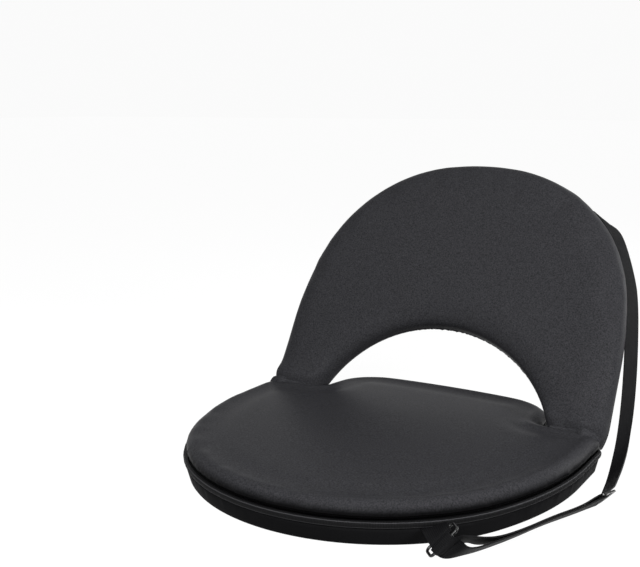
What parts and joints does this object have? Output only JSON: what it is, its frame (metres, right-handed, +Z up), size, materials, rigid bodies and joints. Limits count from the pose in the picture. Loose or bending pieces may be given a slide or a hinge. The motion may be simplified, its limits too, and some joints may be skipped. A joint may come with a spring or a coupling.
{
  "type": "stadium seat",
  "caption": "Folding padded stadium seat: wedge-sided seat cushion, arched back rest on ratchet hinges, webbing carrying strap with slider and ring.",
  "frame": {"origin": "on the floor, midway between the hinges, under the crease between seat and back rest", "axes": "+X to the right seen from the front, the seat faces -Y, +Z up from the floor"},
  "size_m": [0.5537, 0.5932, 0.3633],
  "materials": {
    "cover_fabric": "satin coated weave",
    "base_fabric": "smooth coated weave",
    "binding_tape": "ribbed weave",
    "webbing": "plain woven",
    "foam": "open cell",
    "frame_steel": "powder coat",
    "hinge_steel": "zinc plated",
    "spring_steel": "oil tempered",
    "black_metal": "glossy black enamel"
  },
  "bodies": {
    "seat": {"seat_top_cover": "cover_fabric", "seat_bottom_cover": "base_fabric", "edge_binding": "binding_tape", "seat_foam": "foam", "seat_frame_hoop": "frame_steel", "seat_tongue_rod": "frame_steel", "seat_arm_rivets": "hinge_steel", "strap_tab": "webbing", "strap_lower": "webbing", "right_hinge_seat_arm": "hinge_steel", "right_hinge_gusset": "cover_fabric", "left_hinge_seat_arm": "hinge_steel", "left_hinge_gusset": "cover_fabric"},
    "back_rest": {"back_front_cover": "cover_fabric", "back_rear_cover": "cover_fabric", "back_front_foam": "foam", "back_rear_foam": "foam", "back_frame_hoop": "frame_steel", "back_arch_rod": "frame_steel", "back_arm_rivets": "hinge_steel", "strap_upper": "webbing", "strap_patch": "webbing", "right_hinge_inner_cheek": "hinge_steel", "right_hinge_outer_cheek": "hinge_steel", "right_hinge_pivot_rivet": "hinge_steel", "right_hinge_pawl_pin": "hinge_steel", "right_hinge_pawl_spring": "spring_steel", "right_hinge_spacer": "hinge_steel", "left_hinge_inner_cheek": "hinge_steel", "left_hinge_outer_cheek": "hinge_steel", "left_hinge_pivot_rivet": "hinge_steel", "left_hinge_pawl_pin": "hinge_steel", "left_hinge_pawl_spring": "spring_steel", "left_hinge_spacer": "hinge_steel"},
    "right_pawl": {"right_hinge_pawl": "hinge_steel"},
    "left_pawl": {"left_hinge_pawl": "hinge_steel"},
    "ring": {"strap_ring": "black_metal"},
    "slider": {"strap_slider": "black_metal"}
  },
  "joints": [
    {"name": "back_recline", "type": "hinge", "parent": "seat", "child": "back_rest", "pos_m": [0, 0.0083, 0.055], "axis": [1, 0, 0], "range_deg": [-15, 120], "deforming": ["strap_upper", "right_hinge_gusset", "left_hinge_gusset"]},
    {"name": "right_pawl_lift", "type": "hinge", "parent": "back_rest", "child": "right_pawl", "pos_m": [0.2275, 0.02714, 0.0673], "axis": [1, 0, 0], "range_deg": [0, 12], "stiffness_Nm_per_rad": 0.05, "springref_deg": -5.73, "deforming": ["right_hinge_pawl_spring"]},
    {"name": "left_pawl_lift", "type": "hinge", "parent": "back_rest", "child": "left_pawl", "pos_m": [-0.2275, 0.02714, 0.0673], "axis": [1, 0, 0], "range_deg": [0, 12], "stiffness_Nm_per_rad": 0.05, "springref_deg": -5.73, "deforming": ["left_hinge_pawl_spring"]},
    {"name": "ring_swing", "type": "hinge", "parent": "seat", "child": "ring", "pos_m": [0.17574, -0.31151, 0.017], "axis": [0.51, 0.49, 0.707], "range_deg": [-8, 8], "deforming": ["strap_lower"]},
    {"name": "slider_travel", "type": "slide", "parent": "seat", "child": "slider", "axis": [-0.4291, -0.9033, 0], "range_m": [0, 0.06], "deforming": ["strap_upper", "strap_lower"]}
  ],
  "couplings": [
    {"joint": "left_pawl_lift", "follows": "right_pawl_lift", "ratio": 1}
  ]
}
